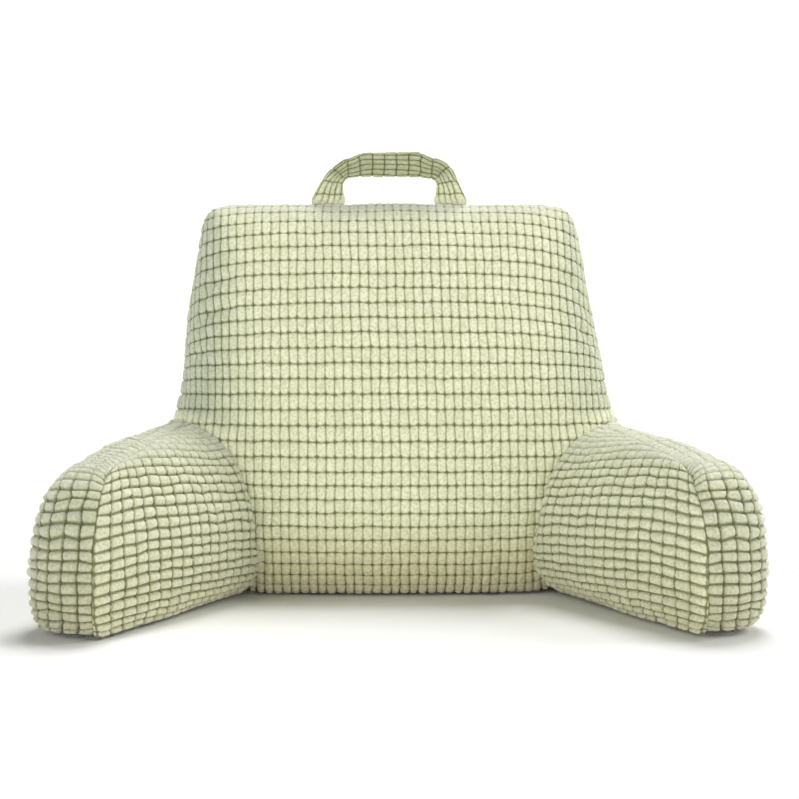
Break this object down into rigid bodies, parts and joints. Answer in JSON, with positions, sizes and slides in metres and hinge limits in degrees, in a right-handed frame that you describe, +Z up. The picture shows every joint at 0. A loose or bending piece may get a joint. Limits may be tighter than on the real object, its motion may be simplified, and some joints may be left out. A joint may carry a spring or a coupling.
{
  "type": "reading pillow with arms",
  "caption": "Filled bed-rest pillow: reclined trapezoid backrest, two splayed padded arms and a carry strap on top, in a puffed check plush.",
  "frame": {"origin": "on the floor, under the middle of the pillow's outline", "axes": "+X across the pillow from arm to arm, +Y from the sitter to the rear, +Z up"},
  "size_m": [0.766, 0.51, 0.5534],
  "materials": {
    "cover_cloth": "matt plush in puffed oblong cells with darker grooves between them",
    "handle_cloth": "the same plush, folded into a flat padded strap"
  },
  "bodies": {
    "root": {"backrest": "cover_cloth", "arm_left": "cover_cloth", "arm_right": "cover_cloth", "handle": "handle_cloth"}
  },
  "joints": []
}
